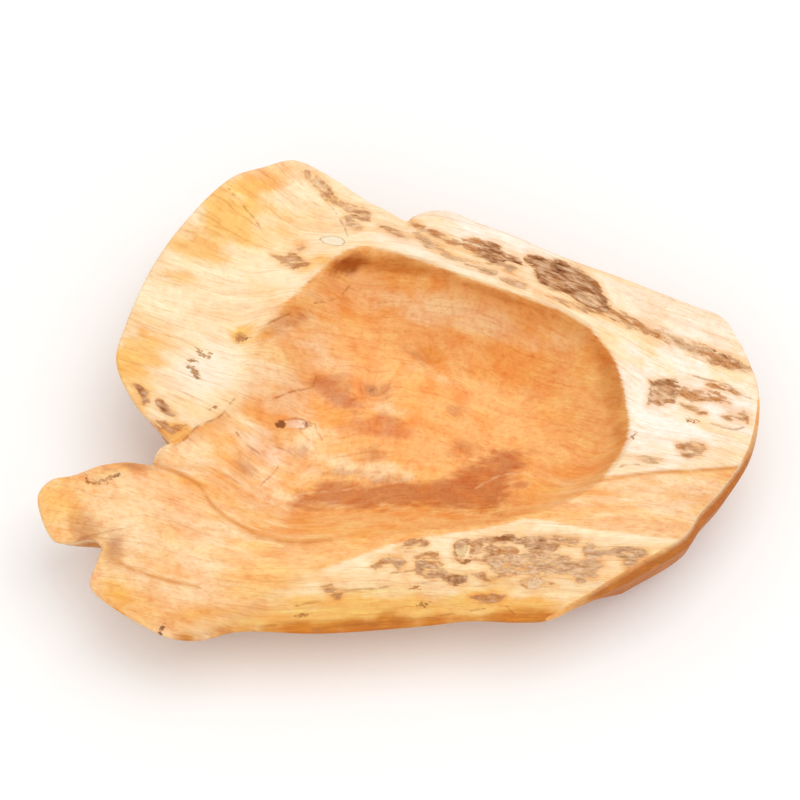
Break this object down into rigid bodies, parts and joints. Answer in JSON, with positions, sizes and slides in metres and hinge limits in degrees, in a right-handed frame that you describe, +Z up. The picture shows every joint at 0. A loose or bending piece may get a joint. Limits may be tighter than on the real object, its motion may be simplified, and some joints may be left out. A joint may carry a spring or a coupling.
{
  "type": "burl wood bowl",
  "caption": "Free-form serving bowl carved from one root, with a smooth oval hollow running out to a low spout, a live edge, and bark, dead knots and a filling seated in its rim.",
  "frame": {"origin": "centre of the flat foot that the bowl stands on, on the table's surface", "axes": "+X along the bowl's length, away from the tongue and the spout; +Y towards the high back ridge; +Z up"},
  "size_m": [0.39, 0.2698, 0.0876],
  "materials": {
    "root_wood": "carved and sanded smooth, thin clear oil",
    "bark": "rough bark left on the root, brushed clean",
    "dead_knot": "dead branch wood cut flush and sanded",
    "filling": "pale wood dust filling sanded flush"
  },
  "bodies": {
    "root": {"bowl_body": "root_wood", "bark_lobe_tip": "bark", "bark_lobe_shoulder": "bark", "bark_lobe_crest": "bark", "bark_left_edge": "bark", "bark_left_middle": "bark", "bark_left_corner": "bark", "bark_seam_notch": "bark", "bark_seam_short": "bark", "bark_seam_large": "bark", "bark_seam_strip": "bark", "bark_seam_end": "bark", "bark_right_inner": "bark", "bark_right_middle": "bark", "bark_right_outer": "bark", "bark_right_low": "bark", "bark_front_left": "bark", "bark_front_slant": "bark", "bark_front_large": "bark", "bark_front_right": "bark", "bark_front_under": "bark", "bark_front_fleck": "bark", "knot_lobe": "dead_knot", "knot_pale": "dead_knot", "knot_tongue": "dead_knot", "knot_spout": "dead_knot", "knot_hollow": "dead_knot", "knot_swirl": "dead_knot", "knot_eye": "dead_knot", "knot_front": "dead_knot", "fill_lobe": "filling"}
  },
  "joints": []
}
